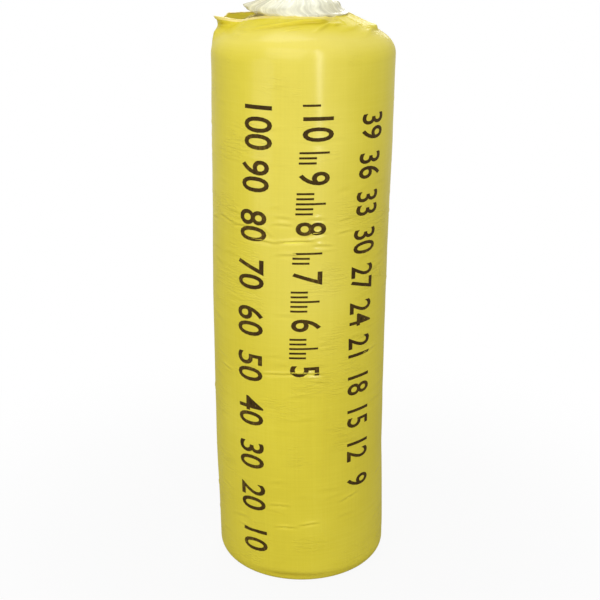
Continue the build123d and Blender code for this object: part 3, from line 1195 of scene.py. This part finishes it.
# %% [markdown]
# ## The clear film bag
#
# The bag is one tube of thin clear film, drawn together at both ends. It is a single grid again, read
# from the edge of the tail that is pressed flat under the base, through the lower gather, up the side,
# over the dome, up the loose gathered tail and out to its cut edge. Film that is drawn together folds
# into sharp pleats that run towards the gather, merge and wander. They are formulas on the angle, with a
# crest like the top of a tent. The two tails are smooth rows through a few listed rings.

# %% Film sizes
film_columns = 288
film_gap = 0.0006
tail_middle_x = leaning(1.18)

# Each ring is a height, a length and a width across, its middle's place, the depth of its pleats, and
# the share of fine pleats among them
pressed_tail_rings = [
    (0.0024, 0.134, 0.102, 0.004, 0.030, 0.38),
    (0.0030, 0.098, 0.076, 0.003, 0.020, 0.38),
    (0.0042, 0.050, 0.040, 0.001, 0.008, 0.38),
    (0.0062, 0.008, 0.007, 0.000, 0.002, 0.38),
    (0.0086, 0.010, 0.009, 0.000, 0.001, 0.38),
]
loose_tail_rings = [
    (1.1865, 0.176, 0.172, -0.005, 0.003, 0.05),
    (1.1925, 0.204, 0.174, -0.008, 0.006, 0.06),
    (1.1965, 0.208, 0.170, -0.014, 0.009, 0.07),
    (1.2030, 0.202, 0.165, -0.017, 0.012, 0.08),
    (1.2110, 0.184, 0.150, -0.012, 0.014, 0.10),
    (1.2205, 0.148, 0.120, -0.010, 0.018, 0.14),
    (1.2285, 0.098, 0.084, -0.013, 0.014, 0.22),
    (1.2345, 0.042, 0.038, -0.018, 0.008, 0.34),
    (1.2380, 0.013, 0.012, -0.018, 0.004, 0.38),
    (1.2425, 0.020, 0.018, -0.018, 0.007, 0.38),
    (1.2500, 0.064, 0.050, -0.019, 0.020, 0.38),
    (1.2580, 0.108, 0.082, -0.020, 0.038, 0.38),
]


# %% Film pleats
def pleats(angle, run, count, wander, seed):
    """Straight sharp folds that run towards a gather: 0 in the valleys and 1 on the crests."""
    phase = count * angle / 2 + wander * waves(angle, run, 7, 0.16, seed)
    crest = 1 - np.abs(np.sin(phase))
    strength = 0.6 + 0.4 * waves(angle, run, 13, 0.12, seed + 1)
    return crest**1.2 * strength


def rings(table, rows):
    """Smooth rows through listed rings, each a curve through the two rings on both sides of it."""
    table = np.array(table)
    steps = np.linspace(0, len(table) - 1, rows)
    low = np.minimum(steps.astype(int), len(table) - 2)
    share = (steps - low)[:, None]
    before, after = table[np.maximum(low - 1, 0)], table[np.minimum(low + 2, len(table) - 1)]
    start, end = table[low], table[low + 1]
    square, cube = share**2, share**3
    return 0.5 * (
        2 * start + (end - before) * share + (2 * before - 5 * start + 4 * end - after) * square
        + (3 * start - before - 3 * end + after) * cube
    )


def oval_rows(table, rows, angle, along, big, small, seed):
    """Rows of pleated ovals, and how much of each spot is the crest of a fold."""
    height, length, width, middle, depth, fine = [
        part[:, None] + 0 * angle for part in rings(table, rows).T
    ]
    run = along + np.linspace(0.0, 0.0032 * rows, rows)[:, None] + 0 * angle
    uneven = angle + 0.30 * waves(angle, 0 * angle, 5, 1.0, seed + 9)
    broad = 0.7 * pleats(uneven, run, big, 1.6, seed)
    broad = broad + 0.3 * pleats(uneven, run, 2 * big + 1, 2.0, seed + 3)
    fold = (1 - fine) * broad + fine * pleats(angle, run, small, 2.0, seed + 5)
    reach = 1 - np.minimum(depth / (length / 2), 0.9) * (1 - fold)
    across = middle + length / 2 * reach * np.cos(angle)
    deep = width / 2 * reach * np.sin(angle)
    return np.stack([across, deep, height], axis=2), fold


# %% [markdown]
# ## The film's mesh
#
# Each part of the bag's path is a block of rows: the pressed tail, the base, the base edge, the side,
# the rim, the crown and the loose tail. The crown's film runs straight from the rim to the tail's foot
# and is then laid on the dome, in pleats that grow inwards and are pressed flat wherever the sleeve lies
# on them. The loose tail has a point on the left, leans with the roll, and flares unevenly at its cut
# end. Every block also says how much film overlaps at each of its points.


# %% Film mesh
def low_film(angle):
    """The bag from the tail pressed under the base up to the rim, and how much film overlaps there."""
    tail, tail_fold = oval_rows(pressed_tail_rings, 30, angle, 0.0, 17, 51, 41)
    tail[:, :, 2] -= 0.0010 * tail_fold
    radius = np.linspace(0.008, base_flat_x, 28)[:, None] + 0 * angle
    fold = 0.5 * pleats(angle, radius, 30, 1.5, 51) + 0.5 * pleats(angle, radius, 61, 1.8, 52)
    drop = 0.0042 * fold * ramp(0.112, 0.05, radius) + film_gap
    base = ring_points(angle + 0 * radius, radius, np.maximum(dish_height(radius) - drop, 0.0011))
    turn = np.linspace(-pi / 2, 0.0, 8)[1:, None] + 0 * angle
    corner = base_edge_radius + film_gap
    edge_h = wool_base + base_edge_radius + corner * np.sin(turn)
    edge = ring_points(angle + 0 * turn, base_flat_x + corner * np.cos(turn), edge_h)
    side_h = np.linspace(0.03, shoulder_z, 24)[:, None] + 0 * angle
    side = ring_points(angle + 0 * side_h, wool_radius + film_gap + 0 * side_h, side_h)
    bend = (shoulder_radius + film_gap) * crown_limit
    rim_r, rim_h = over_the_top(np.linspace(0.0, bend, 12)[1:, None] + 0 * angle, film_gap)
    rim = ring_points(angle + 0 * rim_r, rim_r, rim_h)
    covers = [0.75 + 0 * tail_fold, 0.10 + 0.34 * fold, 0.3 + 0 * edge_h, 0.3 + 0 * side_h, 0.1 + 0 * rim_r]
    return [tail, base, edge, side, rim], covers


def loose_tail(angle):
    """The gathered tail on top of the dome, and how much film overlaps there."""
    tail, fold = oval_rows(loose_tail_rings, 88, angle, 2.0, 9, 45, 71)
    heights = tail[:, :, 2].copy()
    tail[:, :, 2] = settled(tail[:, :, 0], heights)
    tip = bump(turned(angle, pi), 0.0, 0.28)
    tail[:, :, 0] += leaning(heights) - 0.012 * tip * bump(heights, 1.2040, 0.0045)
    ruffle = 0.008 * waves(angle, 0 * angle, 7, 1.0, 77) + 0.005 * waves(angle, 0 * angle, 26, 1.0, 78)
    tail[:, :, 2] += ramp(1.243, 1.258, heights) * ruffle
    return tail, 0.64 + 0.18 * ramp(1.196, 1.232, heights) + 0.20 * fold


def crown_film(angle, outer_row, inner_row):
    """The film on the dome, between the rim's last row and the tail's first."""
    share = np.linspace(0.0, 1.0, 34)[1:-1, None, None]
    crown = outer_row * (1 - share) + inner_row * share
    across = crown[:, :, 0] - tail_middle_x
    flat = np.hypot(across, crown[:, :, 1])
    hidden = ramp(0.0, 0.012, flat - mouth_reach(angle)) * (1 - standing(angle))
    fold = 0.5 * pleats(angle, flat, 23, 2.0, 71) + 0.5 * pleats(angle, flat, 52, 2.0, 82)
    lift = 0.0007 + 0.0050 * fold * ramp(0.15, 0.75, share[:, :, 0]) * (1 - 0.85 * hidden)
    crown_edge = 0.1625
    crown[:, :, 2] = settled(across, crown_height(np.minimum(flat, crown_edge))) + lift
    return crown, 0.03 + 0.20 * fold


def film_piece():
    """The whole bag, from its lower cut edge to its upper one."""
    angle = (np.arange(film_columns) / film_columns * 2 * pi)[None, :]
    blocks, covers = low_film(angle)
    tail, tail_cover = loose_tail(angle)
    crown, crown_cover = crown_film(angle, blocks[-1][-1], tail[0])
    points = np.concatenate([*blocks, crown, tail])
    runs = np.append(0.0, np.cumsum(np.linalg.norm(np.diff(points, axis=0), axis=2).mean(axis=1)))
    edges = [np.linalg.norm(np.roll(row, 1, axis=0) - row, axis=1).sum() for row in (points[0], points[-1])]
    ends = [round(float(edge), 3) for edge in edges]
    print("film bag is", round(float(runs[-1]), 3), "m long, and its cut edges are", ends, "m round")
    piece = skin("film_bag", points, runs)
    number_points(piece, "cover", np.concatenate([*covers, crown_cover, tail_cover]))
    return piece


# %% [markdown]
# ## The finish of clear film
#
# Thin polythene is nearly invisible where one layer lies flat. It turns milky where it is folded, because
# each layer scatters a little light, and its creases flash with sharp highlights. The mesh carries a
# number called cover, low on the flat film and high on the gathers, and this drives Alpha. The creases
# run straight towards the gathers, so their noise is drawn out along the bag's length in its UV map. The
# tail's two ends are darker and yellower: partly the colour of film lying in many layers, and partly
# painted shade on the tail's sides.


# %% Clear film material
def film_material():
    material, bench = new_material("clear_film")
    cover = point_number(bench, "cover")
    bent = laid_round(bench)[0]
    broad = drawn_noise(bench, bent, 34.0, 8.0, 2.0, 0.7).ridged()
    fine = drawn_noise(bench, bent, 100.0, 20.0, 3.0, 0.7).ridged()
    milky = cover + cover * (broad**9.0 * 0.6 + fine**9.0 * 0.4) * 0.45
    # Darker and yellower towards the tail's two ends: partly film in layers, partly painted shade on its
    # sides.
    layers_and_shade = axes(bench, own_place(bench))[0].size().held(0.015, 0.095) * (1 - broad**2.0 * 0.35)
    surface(bench, {
        "Base Color": mixed(bench, layers_and_shade * 0.65, colour(246, 245, 221), colour(206, 194, 116)),
        "Roughness": 0.14, "IOR": 1.55, "Alpha": milky.maths("MINIMUM", milky, 0.97),
        "Normal": bumped(bench, 0.28, 0.0022, broad**3.0 * 0.75 + fine**3.0 * 0.25),
    })
    return material


film = place(film_piece(), "film_wrap", slot="clear_film", materials=[film_material()])

# %% Flat sizes
print("film 1.13 x 1.58 m, sleeve", round(2 * pi * sleeve_radius, 3), "x 1.36 m")

# %% [markdown]
# ## The floor and the light
#
# A plain pale floor carries the roll's shadow. To the camera, and in reflections far away, it is white,
# so it runs into the white background. A large soft lamp on the upper left makes the sleeve's broad,
# even light, and a weaker one low on the left keeps that side from going dull. A narrow tall one to the
# right of the camera draws the pale upright streak that a satin cylinder shows. A soft lamp overhead and
# one behind light the dome, the collar's inside and the back.


# %% Floor
def seen_rays(bench):
    """1 for rays from the camera, for rays off a glossy surface, and for rays through a clear one."""
    node = bench.add("ShaderNodeLightPath").socket.node
    return [Wire(bench, node.outputs[f"Is {kind} Ray"]) for kind in ("Camera", "Glossy", "Transmission")]


def floor_material():
    material, bench = new_material("pale_floor")
    camera_ray, glossy_ray, through_ray = seen_rays(bench)
    settings = {"operation": "LENGTH"}
    away = bench.add("ShaderNodeVectorMath", settings, {0: own_place(bench)}, output="Value")
    plain = 0.93 + away.held(0.3, 1.2) * 0.07
    matt = bench.add("ShaderNodeBsdfDiffuse", None, {"Color": (0.43, 0.43, 0.43, 1.0)})
    white = bench.add("ShaderNodeEmission", None, {"Color": (1.0, 1.0, 1.0, 1.0), "Strength": 1.0})
    mirrored = glossy_ray.highest(through_ray) * away.held(1.0, 4.0)
    shown = camera_ray * plain + (1 - camera_ray) * mirrored
    finish_material(bench, bench.add("ShaderNodeMixShader", None, {0: shown, 1: matt, 2: white}))
    return material


floor_reach = 30.0
floor_corners = [(x * floor_reach, y * floor_reach, 0) for x, y in ((-1, -1), (1, -1), (1, 1), (-1, 1))]
floor_mesh = bpy.data.meshes.new("floor")
floor_mesh.from_pydata(floor_corners, [], [(0, 1, 2, 3)])
floor_mesh.materials.append(floor_material())
in_scene("floor", floor_mesh)


# %% Lamps
def lamp(name, place_at, aim, width, height, power):
    """A rectangular soft lamp that faces the point it is aimed at: sizes in metres, power in watts."""
    data = bpy.data.lights.new(name, "AREA")
    data.shape, data.size, data.size_y, data.energy = "RECTANGLE", width, height, power
    data.color = (1.0, 1.0, 1.0)
    light = in_scene(name, data)
    light.location = place_at
    direction = Vector(aim) - Vector(place_at)
    light.rotation_euler = direction.to_track_quat("-Z", "Y").to_euler()
    print("lamp", name, power, "W")


lamp("front_key", (-1.3, -2.8, 2.7), (0, 0, 0.8), 3.0, 3.0, 46.0)
lamp("low_left", (-2.4, -2.0, 0.5), (0, 0, 0.4), 1.4, 1.4, 9.0)
lamp("tall_strip", (1.0, -2.8, 2.1), (0, 0, 2.1), 0.08, 3.4, 32.0)
lamp("overhead", (-0.5, 0.9, 3.3), (0, 0, 1.1), 1.3, 1.3, 13.0)
lamp("rear_fill", (0.4, 3.2, 2.2), (0, 0, 0.7), 1.5, 1.5, 30.0)


# %% Sky
def build_sky():
    """White where it is seen, and a soft light from all sides for the rest."""
    world = bpy.data.worlds.new("studio")
    world.use_nodes = True
    world.node_tree.nodes.clear()
    bench = Bench(world.node_tree)
    camera_ray, glossy_ray, through_ray = seen_rays(bench)
    shown = camera_ray.highest(glossy_ray.highest(through_ray))
    soft, white = [
        bench.add("ShaderNodeBackground", None, {"Color": (1.0, 1.0, 1.0, 1.0), "Strength": strength})
        for strength in (0.58, 1.0)
    ]
    sky = bench.add("ShaderNodeMixShader", None, {0: shown, 1: soft, 2: white})
    bench.add("ShaderNodeOutputWorld", None, {"Surface": sky})
    bpy.context.scene.world = world


build_sky()
bpy.context.scene.view_settings.view_transform = "Standard"
